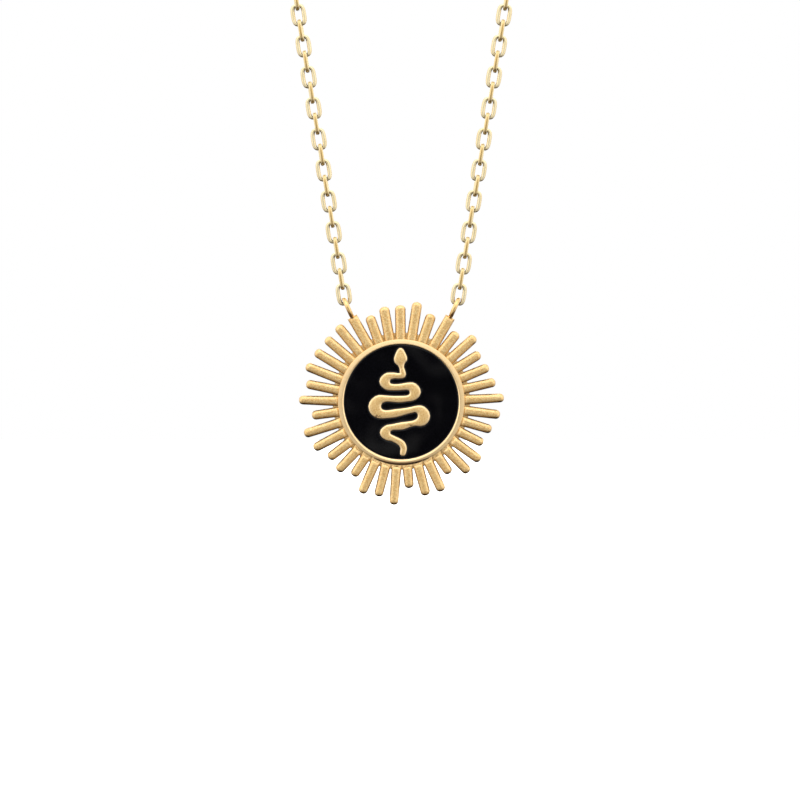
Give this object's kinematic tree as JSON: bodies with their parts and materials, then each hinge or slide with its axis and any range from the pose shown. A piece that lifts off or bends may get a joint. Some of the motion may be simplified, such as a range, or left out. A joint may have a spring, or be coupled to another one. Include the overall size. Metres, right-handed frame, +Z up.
{
  "type": "snake pendant necklace",
  "caption": "Cable chain necklace with a ring clasp and a cast sunburst pendant, whose black enamelled disc carries a raised snake.",
  "frame": {"origin": "top of the round rest that the loop hangs over, under the clasp", "axes": "+Z up along the hanging necklace, front of the pendant towards -Y, +X to the right seen from the front"},
  "size_m": [0.0594, 0.0062, 0.1963],
  "materials": {
    "satin_gold": "gold plated cast brass, fine sand satin",
    "polished_gold": "pale gold plated brass wire, polished",
    "black_enamel": "black soft enamel, high gloss"
  },
  "bodies": {
    "chain": {"chain_left": "polished_gold", "chain_right": "polished_gold", "jump_ring_left": "polished_gold", "jump_ring_right": "polished_gold", "clasp": "polished_gold"},
    "pendant": {"pendant_casting": "satin_gold", "enamel": "black_enamel"}
  },
  "joints": [
    {"name": "pendant_swing", "type": "hinge", "parent": "chain", "child": "pendant", "pos_m": [0, 0, -0.17321], "axis": [1, 0, 0], "range_deg": [-60, 60]}
  ]
}
